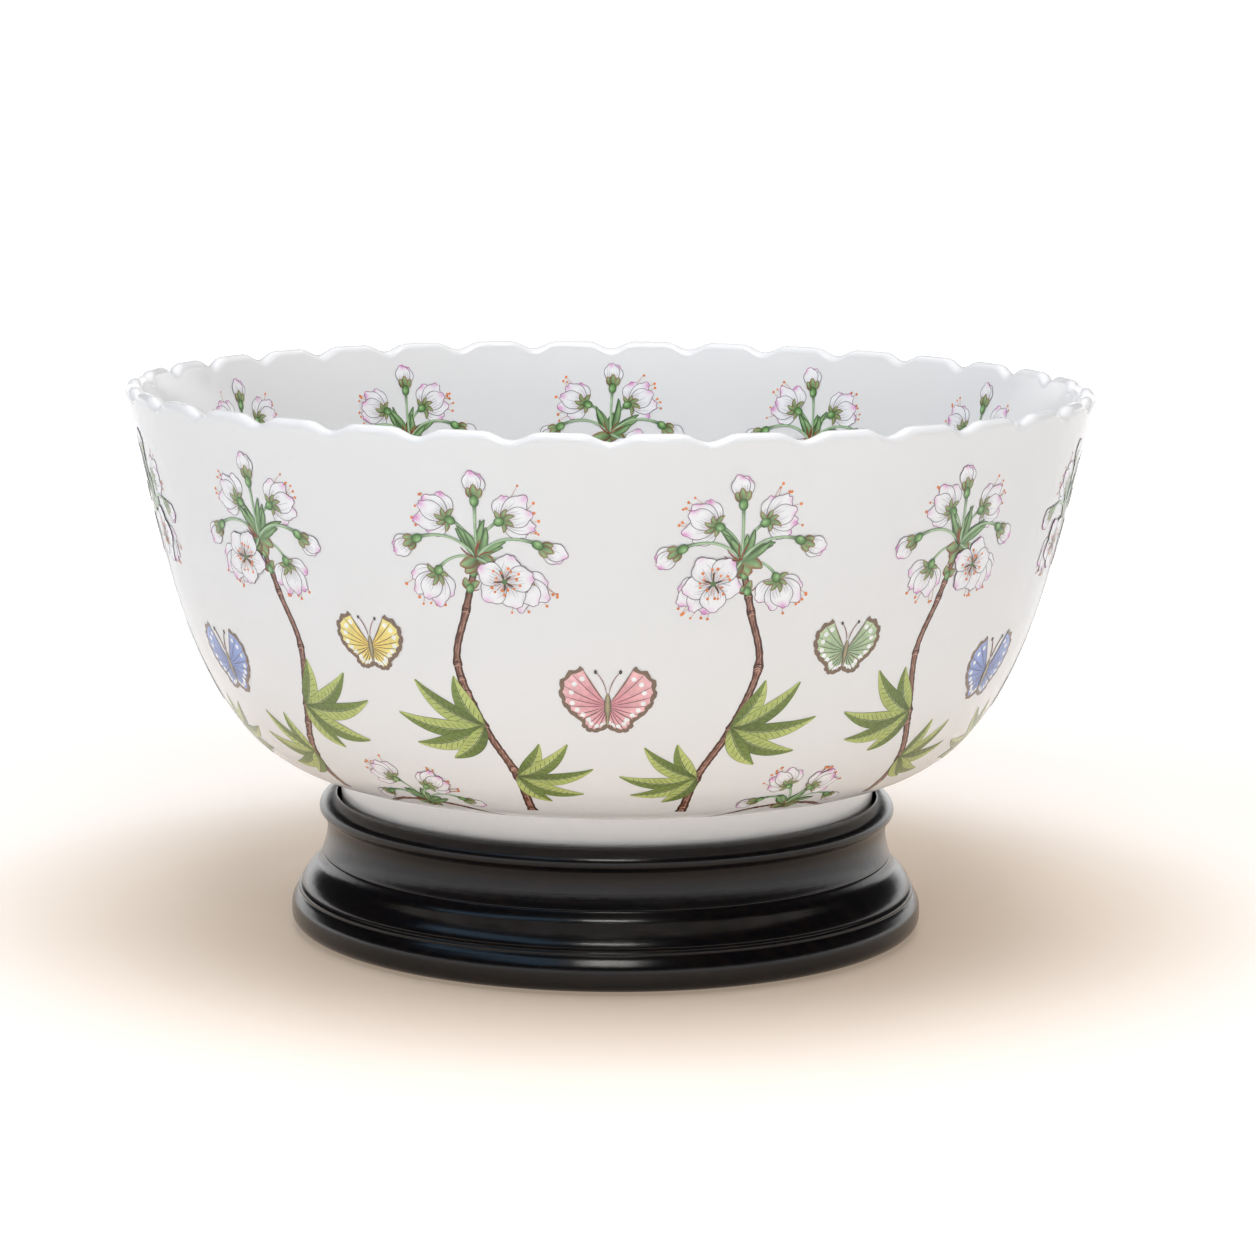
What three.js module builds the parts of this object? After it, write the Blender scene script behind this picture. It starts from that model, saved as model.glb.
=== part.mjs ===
// Porcelain serving bowl with a scalloped rim, seated in a turned and lacquered wooden ring stand.
//
// Millimetres, +Z up, front towards -Y. The origin is on the floor, on the bowl's axis.
//
// Stand: a collar ring with a rebate for the bowl's foot is glued, by a spigot, into a base ring.
//        A felt ring lines the rebate's ledge, and four felt pads carry the base ring.
// Bowl:  one fired piece, wall, floor and foot ring. It stands in the rebate and lifts straight out.

import * as THREE from 'three';

// Bowl: outer sizes, wall, and the pulls of the curve that makes its flaring side.
const TOTAL_HEIGHT = 204;
const RIM_RADIUS = 178.2;
const WALL = 6;
const FLOOR_THICKNESS = 7.8;
const FOOT_RADIUS = 100;
const FOOT_WIDTH = 9;
const FOOT_TOP_Z = 60.7;
const FOOT_CHAMFER = 1;
const FLARE_PULL_IN = 12.4;
const FLARE_PULL_Z = 160.5;
const BELLY_PULL_OUT = 58.3;
const BELLY_PULL_UP = 1.5;

// Scalloped rim: the notches dip the top band of the wall.
const SCALLOPS = 34;
const SCALLOP_DIP = 3.4;
const SCALLOP_BAND = 12;
const NOTCH_HALF_SHARE = 0.25;

// Collar ring: the outside runs from the joint up a hollow neck to a crease, then over a rounded lip.
const JOINT_Z = 28.4;
const COLLAR_FOOT_RADIUS = 106.5;
const NECK_PULL_RADIUS = 103.6;
const NECK_PULL_RISE = 3.6;
const CREASE_RADIUS = 106.3;
const CREASE_Z = 43;
const LIP_PULL_RADIUS = 107.8;
const LIP_TOP_RADIUS = 103.6;
const LIP_TOP_Z = 50.5;
const LIP_INNER_ROUND = 2.3;
const LEDGE_Z = 40;
const LEDGE_INNER_RADIUS = 86;
const FOOT_CLEARANCE = 0.9;
const SPIGOT_RADIUS = 96;
const SPIGOT_DEPTH = 6;
const SPIGOT_GAP = 0.3;

// Base ring: a half-round at the floor, a cut quirk, then an ogee up to the step under the collar.
const BASE_RADIUS = 118;
const BASE_WIDEST_Z = 10.4;
const BASE_FLOOR_RADIUS = 111.5;
const BASE_BORE_RADIUS = 90;
const QUIRK_Z = 16.2;
const QUIRK_HEIGHT = 1.2;
const QUIRK_FLOOR_RADIUS = 114.7;
const TORUS_TOP_RADIUS = 115.9;
const OGEE_FOOT_RADIUS = 115.4;
const OGEE_PULL = 4;
const STEP_RADIUS = 108;

// Felt.
const FELT_THICKNESS = 1;
const SEAT_Z = LEDGE_Z + FELT_THICKNESS;
const PAD_RADIUS = 8;
const PAD_THICKNESS = 1.2;
const PAD_COUNT = 4;

// Facets round the axis: four to each scallop on the bowl.
const BOWL_SEGMENTS = 4 * SCALLOPS;
const STAND_SEGMENTS = 72;
const PAD_SEGMENTS = 20;

const point = (radius, z) => new THREE.Vector2(radius, z);

function curve(start, pullStart, pullEnd, end, steps) {
  return new THREE.CubicBezierCurve(start, pullStart, pullEnd, end).getPoints(steps);
}

function arc(centre, radius, fromDegrees, toDegrees, steps) {
  const from = THREE.MathUtils.degToRad(fromDegrees);
  const to = THREE.MathUtils.degToRad(toDegrees);
  return new THREE.EllipseCurve(centre.x, centre.y, radius, radius, from, to).getPoints(steps);
}

// A solid of revolution about Z from an outline of (radius, z) points. An outline that doesn't
// start on the axis is closed on itself.
function turned(outline, segments) {
  const startsOnAxis = outline[0].x === 0;
  const points = startsOnAxis ? outline : [...outline, outline[0]];
  const geometry = new THREE.LatheGeometry(points, segments);
  geometry.rotateX(Math.PI / 2);
  return geometry;
}

// How far the rim dips at an angle from the front: one rounded notch to each scallop.
function scallopDip(angle) {
  const turn = (angle * SCALLOPS) / (2 * Math.PI);
  const fromNotch = Math.abs(turn - Math.round(turn));
  const depth = Math.max(0, 1 - fromNotch / NOTCH_HALF_SHARE);
  return SCALLOP_DIP * Math.sin((depth * Math.PI) / 2);
}

function scallopRim(geometry) {
  const position = geometry.getAttribute('position');
  const bandBottom = TOTAL_HEIGHT - SCALLOP_BAND;
  for (let i = 0; i < position.count; i += 1) {
    const z = position.getZ(i);
    if (z > bandBottom) {
      const angle = Math.atan2(position.getX(i), -position.getY(i));
      const share = (z - bandBottom) / SCALLOP_BAND;
      position.setZ(i, z - share * scallopDip(angle));
    }
  }
}

// Foot ring, flaring outer wall, rounded rim, inner wall and floor.
function bowlGeometry() {
  const footInner = FOOT_RADIUS - FOOT_WIDTH;
  const undersideZ = FOOT_TOP_Z - BELLY_PULL_UP;
  const floorZ = undersideZ + FLOOR_THICKNESS;
  const rimCentre = point(RIM_RADIUS - WALL / 2, TOTAL_HEIGHT - WALL / 2);
  const innerRim = RIM_RADIUS - WALL;
  const outerWall = curve(
    point(FOOT_RADIUS, FOOT_TOP_Z),
    point(FOOT_RADIUS + BELLY_PULL_OUT, FOOT_TOP_Z + BELLY_PULL_UP),
    point(RIM_RADIUS - FLARE_PULL_IN, FLARE_PULL_Z),
    point(RIM_RADIUS, rimCentre.y),
    10,
  );
  const innerWall = curve(
    point(innerRim, rimCentre.y),
    point(innerRim - FLARE_PULL_IN, FLARE_PULL_Z),
    point(FOOT_RADIUS + BELLY_PULL_OUT - WALL, floorZ + BELLY_PULL_UP),
    point(FOOT_RADIUS - WALL, floorZ),
    8,
  );
  const outline = [
    point(0, undersideZ),
    point(footInner - 3 * FOOT_CHAMFER, undersideZ),
    point(footInner, undersideZ - 3 * FOOT_CHAMFER),
    point(footInner, SEAT_Z + FOOT_CHAMFER),
    point(footInner + FOOT_CHAMFER, SEAT_Z),
    point(FOOT_RADIUS - 2 * FOOT_CHAMFER, SEAT_Z),
    point(FOOT_RADIUS - FOOT_CHAMFER, SEAT_Z + FOOT_CHAMFER),
    ...outerWall,
    ...arc(rimCentre, WALL / 2, 0, 180, 4).slice(1, -1),
    ...innerWall,
    point(0, floorZ),
  ];
  const geometry = turned(outline, BOWL_SEGMENTS);
  scallopRim(geometry);
  return geometry;
}

// Spigot, hollow neck, rounded lip, and the rebate that holds the bowl's foot.
function collarGeometry() {
  const rebateRadius = FOOT_RADIUS + FOOT_CLEARANCE;
  const spigotZ = JOINT_Z - SPIGOT_DEPTH;
  const neck = curve(
    point(COLLAR_FOOT_RADIUS, JOINT_Z),
    point(NECK_PULL_RADIUS, JOINT_Z + NECK_PULL_RISE),
    point(NECK_PULL_RADIUS, CREASE_Z - NECK_PULL_RISE),
    point(CREASE_RADIUS, CREASE_Z),
    6,
  );
  const lip = curve(
    point(CREASE_RADIUS, CREASE_Z),
    point(LIP_PULL_RADIUS, CREASE_Z + 1.5),
    point(LIP_PULL_RADIUS, LIP_TOP_Z),
    point(LIP_TOP_RADIUS, LIP_TOP_Z),
    6,
  );
  const innerRound = arc(
    point(rebateRadius + LIP_INNER_ROUND, LIP_TOP_Z - LIP_INNER_ROUND),
    LIP_INNER_ROUND,
    90,
    180,
    3,
  );
  const outline = [
    point(LEDGE_INNER_RADIUS, spigotZ),
    point(SPIGOT_RADIUS, spigotZ),
    point(SPIGOT_RADIUS, JOINT_Z),
    ...neck,
    ...lip.slice(1),
    ...innerRound,
    point(rebateRadius, LEDGE_Z),
    point(LEDGE_INNER_RADIUS, LEDGE_Z),
  ];
  return turned(outline, STAND_SEGMENTS);
}

// Half-round, quirk, ogee, and the socket that takes the collar's spigot.
function baseGeometry() {
  const socketRadius = SPIGOT_RADIUS + SPIGOT_GAP;
  const socketZ = JOINT_Z - SPIGOT_DEPTH - SPIGOT_GAP;
  const quirkTop = QUIRK_Z + QUIRK_HEIGHT;
  const quirkFloor = QUIRK_Z + QUIRK_HEIGHT / 2;
  const lowerTorus = curve(
    point(BASE_FLOOR_RADIUS, PAD_THICKNESS),
    point((BASE_FLOOR_RADIUS + 2 * BASE_RADIUS) / 3, PAD_THICKNESS),
    point(BASE_RADIUS, BASE_WIDEST_Z / 2),
    point(BASE_RADIUS, BASE_WIDEST_Z),
    5,
  );
  const upperTorus = curve(
    point(BASE_RADIUS, BASE_WIDEST_Z),
    point(BASE_RADIUS, BASE_WIDEST_Z + 2),
    point(TORUS_TOP_RADIUS + 1.3, QUIRK_Z - 1.4),
    point(TORUS_TOP_RADIUS, QUIRK_Z),
    3,
  );
  const ogee = curve(
    point(OGEE_FOOT_RADIUS, quirkTop),
    point(OGEE_FOOT_RADIUS - 1.5, quirkTop + OGEE_PULL),
    point(STEP_RADIUS + 0.9, JOINT_Z - OGEE_PULL),
    point(STEP_RADIUS, JOINT_Z),
    6,
  );
  const outline = [
    point(BASE_BORE_RADIUS, PAD_THICKNESS),
    ...lowerTorus,
    ...upperTorus.slice(1),
    point(QUIRK_FLOOR_RADIUS, quirkFloor),
    ...ogee,
    point(socketRadius, JOINT_Z),
    point(socketRadius, socketZ),
    point(BASE_BORE_RADIUS, socketZ),
  ];
  return turned(outline, STAND_SEGMENTS);
}

// Felt ring on the ledge, under the bowl's foot.
function seatFeltGeometry() {
  const inner = LEDGE_INNER_RADIUS + 1;
  const outer = FOOT_RADIUS + FOOT_CLEARANCE / 2;
  const outline = [
    point(inner, LEDGE_Z),
    point(outer, LEDGE_Z),
    point(outer, SEAT_Z),
    point(inner, SEAT_Z),
  ];
  return turned(outline, STAND_SEGMENTS);
}

function padGeometry() {
  const geometry = new THREE.CylinderGeometry(PAD_RADIUS, PAD_RADIUS, PAD_THICKNESS, PAD_SEGMENTS);
  geometry.rotateX(Math.PI / 2);
  return geometry;
}

const glaze = { color: 0xe9e9ea, roughness: 0.12, metalness: 0 };
const lacquer = { color: 0x0b0b0c, roughness: 0.3, metalness: 0 };
const greenFelt = { color: 0x1d2b22, roughness: 0.95, metalness: 0 };
const blackFelt = { color: 0x161616, roughness: 0.95, metalness: 0 };

function piece(name, geometry, finish) {
  const mesh = new THREE.Mesh(geometry, new THREE.MeshStandardMaterial(finish));
  mesh.name = name;
  return mesh;
}

const stand = new THREE.Group();
stand.add(piece('stand_base_ring', baseGeometry(), lacquer));
stand.add(piece('stand_collar_ring', collarGeometry(), lacquer));
stand.add(piece('seat_felt_ring', seatFeltGeometry(), greenFelt));

// The pads sit in the middle of the base ring's underside, the first at 45 degrees to the front.
const padCircle = (BASE_BORE_RADIUS + BASE_FLOOR_RADIUS) / 2;
for (let i = 0; i < PAD_COUNT; i += 1) {
  const angle = ((i + 0.5) * 2 * Math.PI) / PAD_COUNT;
  const pad = piece(`felt_pad_${i + 1}`, padGeometry(), blackFelt);
  pad.position.set(padCircle * Math.cos(angle), padCircle * Math.sin(angle), PAD_THICKNESS / 2);
  stand.add(pad);
}

const object = new THREE.Group();
object.add(stand);
object.add(piece('porcelain_bowl', bowlGeometry(), glaze));

export default object;
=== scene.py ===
"""Porcelain serving bowl with a scalloped rim and blossom decoration, in a black lacquered ring stand.

Metres, +Z up, front towards -Y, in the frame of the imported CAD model. Outlines and the decoration are
written in millimetres, and become metres where their meshes are made.
"""

import cmath
import math
import random

import bpy
import numpy as np
from mathutils import Matrix, Vector


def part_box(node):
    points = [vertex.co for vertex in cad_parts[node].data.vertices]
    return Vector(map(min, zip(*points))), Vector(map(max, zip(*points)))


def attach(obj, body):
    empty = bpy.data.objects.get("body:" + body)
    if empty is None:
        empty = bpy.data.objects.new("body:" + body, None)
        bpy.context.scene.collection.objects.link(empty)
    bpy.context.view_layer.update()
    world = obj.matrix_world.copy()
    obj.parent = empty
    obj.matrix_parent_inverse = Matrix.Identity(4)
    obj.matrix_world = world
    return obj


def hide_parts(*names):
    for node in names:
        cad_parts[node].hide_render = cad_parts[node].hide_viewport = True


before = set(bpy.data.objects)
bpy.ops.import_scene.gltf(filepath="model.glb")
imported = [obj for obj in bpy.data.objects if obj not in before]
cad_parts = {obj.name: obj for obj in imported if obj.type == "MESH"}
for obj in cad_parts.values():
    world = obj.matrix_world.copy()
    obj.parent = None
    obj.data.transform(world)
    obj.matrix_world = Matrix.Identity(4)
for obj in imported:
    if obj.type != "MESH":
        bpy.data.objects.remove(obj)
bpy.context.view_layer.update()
MM = 1000.0


def node_box(node):
    low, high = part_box(node)
    return low * MM, high * MM


BOWL_LOW, BOWL_HIGH = node_box("porcelain_bowl")
COLLAR_LOW, COLLAR_HIGH = node_box("stand_collar_ring")
BASE_LOW, BASE_HIGH = node_box("stand_base_ring")
FELT_LOW, FELT_HIGH = node_box("seat_felt_ring")

# Bowl, in millimetres.
TOP_Z = BOWL_HIGH.z
RIM_RADIUS = BOWL_HIGH.x
SEAT_Z = BOWL_LOW.z
WALL = 6.0
FLOOR_THICKNESS = 7.8
FOOT_RADIUS = 100.0
FOOT_WIDTH = 9.0
FOOT_TOP_Z = 60.7
FLARE_PULL_IN = 12.4
FLARE_PULL_Z = 160.5
BELLY_PULL_OUT = 58.3
BELLY_PULL_UP = 1.5
SCALLOPS = 34
SCALLOP_DIP = 3.4
SCALLOP_BAND = 11.0
NOTCH_SHARE = 0.54
OUTER_EASE = 0.25
COLUMNS_PER_SCALLOP = 14

# Stand, in millimetres.
JOINT_Z = BASE_HIGH.z
PAD_TOP_Z = BASE_LOW.z
BASE_RADIUS = BASE_HIGH.x
LIP_TOP_Z = COLLAR_HIGH.z
LEDGE_Z = FELT_LOW.z
LEDGE_INNER_RADIUS = 86.0
SPIGOT_RADIUS = 96.0
REBATE_RADIUS = 100.9
STAND_COLUMNS = 240


# ---------------------------------------------------------------- outlines and turned meshes


def curve(start, pull_start, pull_end, end, steps=40):
    """Points of a cubic Bezier curve."""
    t = np.linspace(0, 1, steps + 1)[:, None]
    a, b, c, d = (np.array(p, float) for p in (start, pull_start, pull_end, end))
    return (1 - t) ** 3 * a + 3 * (1 - t) ** 2 * t * b + 3 * (1 - t) * t**2 * c + t**3 * d


def arc(centre, radius, from_degrees, to_degrees, steps=24):
    angle = np.radians(np.linspace(from_degrees, to_degrees, steps + 1))
    return np.stack([centre[0] + radius * np.cos(angle), centre[1] + radius * np.sin(angle)], 1)


def length_along(points):
    return np.concatenate([[0], np.cumsum(np.hypot(*np.diff(points, axis=0).T))])


def simplified(points, tolerance):
    """Drops the points that lie within tolerance of the line between those that are kept."""
    ends = [0, int(np.hypot(*(points - points[0]).T).argmax()), len(points) - 1]
    keep = np.zeros(len(points), bool)
    keep[ends] = True
    spans = [(ends[0], ends[1]), (ends[1], ends[2])]
    while spans:
        first, last = spans.pop()
        if last - first < 2:
            continue
        a, b = points[first], points[last]
        along = (b - a) / max(np.hypot(*(b - a)), 1e-9)
        offset = points[first + 1 : last] - a
        away = np.abs(offset[:, 0] * along[1] - offset[:, 1] * along[0])
        far = int(away.argmax())
        if away[far] > tolerance:
            middle = first + 1 + far
            keep[middle] = True
            spans += [(first, middle), (middle, last)]
    return points[keep]


def softened(outline, radius, closed, tolerance=0.01, spacing=0.1):
    """The outline with its corners rounded to about radius, and only as many points as it needs."""
    if closed:
        outline = np.vstack([outline, outline[:1]])
    distance = length_along(outline)
    count = int(distance[-1] / spacing)
    even = np.linspace(0, distance[-1], count + 1)
    points = np.stack([np.interp(even, distance, outline[:, i]) for i in (0, 1)], 1)
    reach = int(2.5 * radius / spacing)
    kernel = np.exp(-0.5 * (np.arange(-reach, reach + 1) * spacing / (0.55 * radius)) ** 2)
    kernel /= kernel.sum()
    if closed:
        padded = np.vstack([points[-reach - 1 : -1], points, points[1 : reach + 1]])
    else:
        padded = np.pad(points, ((reach, reach), (0, 0)), mode="reflect", reflect_type="odd")
    smooth = np.stack([np.convolve(padded[:, i], kernel, "valid") for i in (0, 1)], 1)
    smooth = simplified(smooth, tolerance)
    return smooth[:-1] if closed else smooth


def mesh_object(name, vertices, faces):
    mesh = bpy.data.meshes.new(name)
    mesh.from_pydata(vertices, [], faces)
    mesh.validate()
    mesh.update()
    mesh.shade_smooth()
    piece = bpy.data.objects.new(name, mesh)
    bpy.context.scene.collection.objects.link(piece)
    return piece


def turned(name, outline, columns, shape=None, centre=(0.0, 0.0)):
    """A solid of revolution. An outline that starts on the axis also ends there; any other one is closed
    on itself. shape(radius, z, angle) may move the points of the whole grid."""
    on_axis = outline[0][0] < 1e-6
    rings = outline[1:-1] if on_axis else outline
    angle = np.arange(columns) * 2 * math.pi / columns
    radius = np.repeat(rings[:, :1], columns, 1)
    z = np.repeat(rings[:, 1:], columns, 1)
    if shape:
        radius, z = shape(radius, z, angle[None, :])
    grid = np.stack([radius * np.sin(angle), -radius * np.cos(angle), z], -1).reshape(-1, 3)
    rows = len(rings)
    index = np.arange(rows * columns).reshape(rows, columns)
    nextcol = np.roll(index, -1, axis=1)
    lower, upper = (index[:-1], index[1:]) if on_axis else (index, np.roll(index, -1, axis=0))
    lower_next, upper_next = (
        (nextcol[:-1], nextcol[1:]) if on_axis else (nextcol, np.roll(nextcol, -1, axis=0))
    )
    faces = np.stack([lower, lower_next, upper_next, upper], -1).reshape(-1, 4).tolist()
    if on_axis:
        poles = [[0, 0, outline[0][1]], [0, 0, outline[-1][1]]]
        grid = np.vstack([grid, poles])
        bottom, top = rows * columns, rows * columns + 1
        faces += [[bottom, b, a] for a, b in zip(index[0].tolist(), nextcol[0].tolist())]
        faces += [[top, a, b] for a, b in zip(index[-1].tolist(), nextcol[-1].tolist())]
    grid[:, :2] += centre
    return mesh_object(name, (grid / MM).tolist(), faces)


# ---------------------------------------------------------------- materials


def linear(red, green, blue):
    """A colour given in display values of 0 to 255, as linear light."""

    def channel(value):
        share = value / 255
        return share / 12.92 if value <= 10 else ((share + 0.055) / 1.055) ** 2.4

    return tuple(channel(value) for value in (red, green, blue))


class Finish:
    """A node material with a few helpers to build its procedural detail."""

    def __init__(self, name, **sockets):
        self.material = bpy.data.materials.new(name)
        self.material.use_nodes = True
        self.tree = self.material.node_tree
        self.shader = self.tree.nodes["Principled BSDF"]
        for socket, value in sockets.items():
            self.shader.inputs[socket.replace("_", " ")].default_value = value
        self.coordinates = self.add("ShaderNodeTexCoord").outputs["Object"]

    def add(self, kind, **settings):
        node = self.tree.nodes.new(kind)
        for key, value in settings.items():
            setattr(node, key, value)
        return node

    def link(self, source, target):
        self.tree.links.new(source, target)

    def set(self, socket, source):
        self.link(source, self.shader.inputs[socket])

    def stretched(self, scale):
        """Object coordinates scaled by (x, y, z)."""
        node = self.add("ShaderNodeMapping")
        node.inputs["Scale"].default_value = scale
        self.link(self.coordinates, node.inputs["Vector"])
        return node.outputs["Vector"]

    def noise(self, scale, detail=3.0, roughness=0.5, vector=None):
        node = self.add("ShaderNodeTexNoise")
        node.inputs["Scale"].default_value = scale
        node.inputs["Detail"].default_value = detail
        node.inputs["Roughness"].default_value = roughness
        self.link(vector or self.coordinates, node.inputs["Vector"])
        return node.outputs["Fac"]

    def ranged(self, source, low, high, to_low, to_high):
        node = self.add("ShaderNodeMapRange")
        node.inputs["From Min"].default_value = low
        node.inputs["From Max"].default_value = high
        node.inputs["To Min"].default_value = to_low
        node.inputs["To Max"].default_value = to_high
        self.link(source, node.inputs["Value"])
        return node.outputs["Result"]

    def mixed(self, factor, first, second, blend="MIX"):
        """A colour mix; first and second are colours or sockets, factor a number or a socket."""
        node = self.add("ShaderNodeMix", data_type="RGBA", blend_type=blend)
        for socket, value in (("Factor", factor), ("A", first), ("B", second)):
            target = next(s for s in node.inputs if s.name == socket and s.enabled)
            if isinstance(value, bpy.types.NodeSocket):
                self.link(value, target)
            elif socket == "Factor":
                target.default_value = value
            else:
                target.default_value = (*value, 1.0)
        return next(s for s in node.outputs if s.enabled)

    def maths(self, operation, first, second):
        node = self.add("ShaderNodeMath", operation=operation)
        for target, value in zip(node.inputs, (first, second)):
            if isinstance(value, bpy.types.NodeSocket):
                self.link(value, target)
            else:
                target.default_value = value
        return node.outputs["Value"]

    def bump(self, height, distance, strength=1.0, under=None):
        node = self.add("ShaderNodeBump")
        node.inputs["Distance"].default_value = distance
        node.inputs["Strength"].default_value = strength
        self.link(height, node.inputs["Height"])
        if under:
            self.link(under, node.inputs["Normal"])
        return node.outputs["Normal"]

    def height_above_origin(self):
        node = self.add("ShaderNodeSeparateXYZ")
        self.link(self.coordinates, node.inputs["Vector"])
        return node.outputs["Z"]


GLAZE_WHITE = (0.80, 0.80, 0.805)


def porcelain():
    """White body under a clear glaze: faint clouding, rare iron specks, pooled-glaze waviness, and bare
    biscuit where the foot stands."""
    f = Finish("porcelain_glaze", IOR=1.5, Specular_IOR_Level=0.5)
    cloud = f.ranged(f.noise(9.0, 4.0), 0.3, 0.7, 0.0, 1.0)
    body = f.mixed(cloud, GLAZE_WHITE, (0.775, 0.775, 0.77))
    cells = f.add("ShaderNodeTexVoronoi", feature="F1")
    cells.inputs["Scale"].default_value = 55.0
    f.link(f.coordinates, cells.inputs["Vector"])
    chosen = f.ranged(cells.outputs["Color"], 0.80, 0.82, 0.0, 1.0)
    near = f.ranged(cells.outputs["Distance"], 0.012, 0.022, 1.0, 0.0)
    speck = f.maths("MULTIPLY", chosen, near)
    glazed = f.mixed(f.maths("MULTIPLY", speck, 0.55), body, (0.30, 0.25, 0.20))
    bare = f.ranged(f.height_above_origin(), (SEAT_Z + 1.1) / MM, (SEAT_Z + 1.5) / MM, 1.0, 0.0)
    grit = f.noise(1400.0, 2.0, 0.7)
    biscuit = f.mixed(f.ranged(grit, 0.35, 0.65, 0.0, 1.0), (0.62, 0.58, 0.52), (0.72, 0.69, 0.63))
    f.set("Base Color", f.mixed(bare, glazed, biscuit))
    gloss = f.ranged(f.noise(22.0, 3.0), 0.3, 0.7, 0.13, 0.19)
    f.set("Roughness", f.maths("MAXIMUM", gloss, f.maths("MULTIPLY", bare, 0.75)))
    waves = f.bump(f.noise(38.0, 1.5, 0.4), 0.00012)
    pits = f.bump(f.maths("MULTIPLY", grit, bare), 0.00015, 1.0, waves)
    f.set("Normal", pits)
    return f.material


def lacquer():
    """Black lacquer on turned wood: fine turning rings, slight orange peel, and brown wood just showing
    through in the thin film."""
    f = Finish("black_lacquer", IOR=1.5, Specular_IOR_Level=0.36)
    grain = f.noise(60.0, 5.0, 0.6, f.stretched((0.5, 6.0, 6.0)))
    wood_shows = f.ranged(grain, 0.42, 0.68, 0.0, 1.0)
    f.set("Base Color", f.mixed(wood_shows, (0.002, 0.002, 0.003), (0.008, 0.005, 0.004)))
    patches = f.noise(26.0, 4.0, 0.6)
    f.set("Roughness", f.ranged(patches, 0.3, 0.7, 0.17, 0.23))
    spread = f.add("ShaderNodeVectorMath", operation="MULTIPLY")
    f.link(f.coordinates, spread.inputs[0])
    spread.inputs[1].default_value = (1.0, 1.0, 0.0)
    radius = f.add("ShaderNodeVectorMath", operation="LENGTH")
    f.link(spread.outputs["Vector"], radius.inputs[0])
    rings = f.add("ShaderNodeCombineXYZ")
    f.link(radius.outputs["Value"], rings.inputs["X"])
    f.link(f.height_above_origin(), rings.inputs["Z"])
    turning = f.bump(f.noise(900.0, 2.0, 0.5, rings.outputs["Vector"]), 0.00003)
    peel = f.bump(f.noise(260.0, 2.0, 0.5), 0.00005, 1.0, turning)
    f.set("Normal", peel)
    return f.material


def felt(name, dark, light):
    f = Finish(name, Roughness=0.95, Sheen_Weight=0.35, Sheen_Roughness=0.5)
    fibres = f.noise(900.0, 6.0, 0.75)
    tufts = f.noise(160.0, 4.0, 0.6)
    shade = f.maths("MULTIPLY", f.ranged(fibres, 0.3, 0.7, 0.5, 1.0), f.ranged(tufts, 0.3, 0.7, 0.6, 1.0))
    f.set("Base Color", f.mixed(shade, dark, light))
    f.set("Normal", f.bump(f.maths("ADD", fibres, tufts), 0.0004))
    return f.material


def enamel(name, grain, variation):
    """Overglaze colour from the painted vertices, stippled a little as a printed and fired transfer is."""
    f = Finish(name, IOR=1.5, Specular_IOR_Level=0.5)
    paint = f.add("ShaderNodeVertexColor", layer_name="paint").outputs["Color"]
    stipple = f.ranged(f.noise(grain, 3.0, 0.6), 0.3, 0.7, 1.0 - variation, 1.0 + variation)
    spread = f.add("ShaderNodeVectorMath", operation="SCALE")
    f.link(paint, spread.inputs[0])
    f.link(stipple, spread.inputs["Scale"])
    f.set("Base Color", spread.outputs["Vector"])
    f.set("Roughness", f.ranged(f.noise(24.0, 3.0), 0.3, 0.7, 0.15, 0.23))
    return f.material


# ---------------------------------------------------------------- bowl


def smoothstep(low, high, value):
    t = np.clip((value - low) / (high - low), 0, 1)
    return t * t * (3 - 2 * t)


def outer_wall():
    return curve(
        (FOOT_RADIUS, FOOT_TOP_Z),
        (FOOT_RADIUS + BELLY_PULL_OUT, FOOT_TOP_Z + BELLY_PULL_UP),
        (RIM_RADIUS - FLARE_PULL_IN, FLARE_PULL_Z),
        (RIM_RADIUS, TOP_Z - WALL / 2),
        240,
    )


def inner_wall():
    floor_z = FOOT_TOP_Z - BELLY_PULL_UP + FLOOR_THICKNESS
    inner_rim = RIM_RADIUS - WALL
    return curve(
        (inner_rim, TOP_Z - WALL / 2),
        (inner_rim - FLARE_PULL_IN, FLARE_PULL_Z),
        (FOOT_RADIUS + BELLY_PULL_OUT - WALL, floor_z + BELLY_PULL_UP),
        (FOOT_RADIUS - WALL, floor_z),
        240,
    )


def scalloped(radius, z, angle):
    """Slides the rim down the wall in one rounded notch to each scallop."""
    turn = angle * SCALLOPS / (2 * math.pi)
    from_notch = np.abs(turn - np.round(turn)) / (NOTCH_SHARE / 2)
    dip = SCALLOP_DIP * np.cos(np.clip(from_notch, 0, 1) * math.pi / 2) ** 1.6
    share = smoothstep(TOP_Z - SCALLOP_BAND, TOP_Z - WALL / 2, z)
    share = share * (1 - OUTER_EASE * smoothstep(RIM_RADIUS - WALL, RIM_RADIUS, radius))
    lean = FLARE_PULL_IN / (TOP_Z - WALL / 2 - FLARE_PULL_Z)
    return radius - share * dip * lean, z - share * dip


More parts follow.
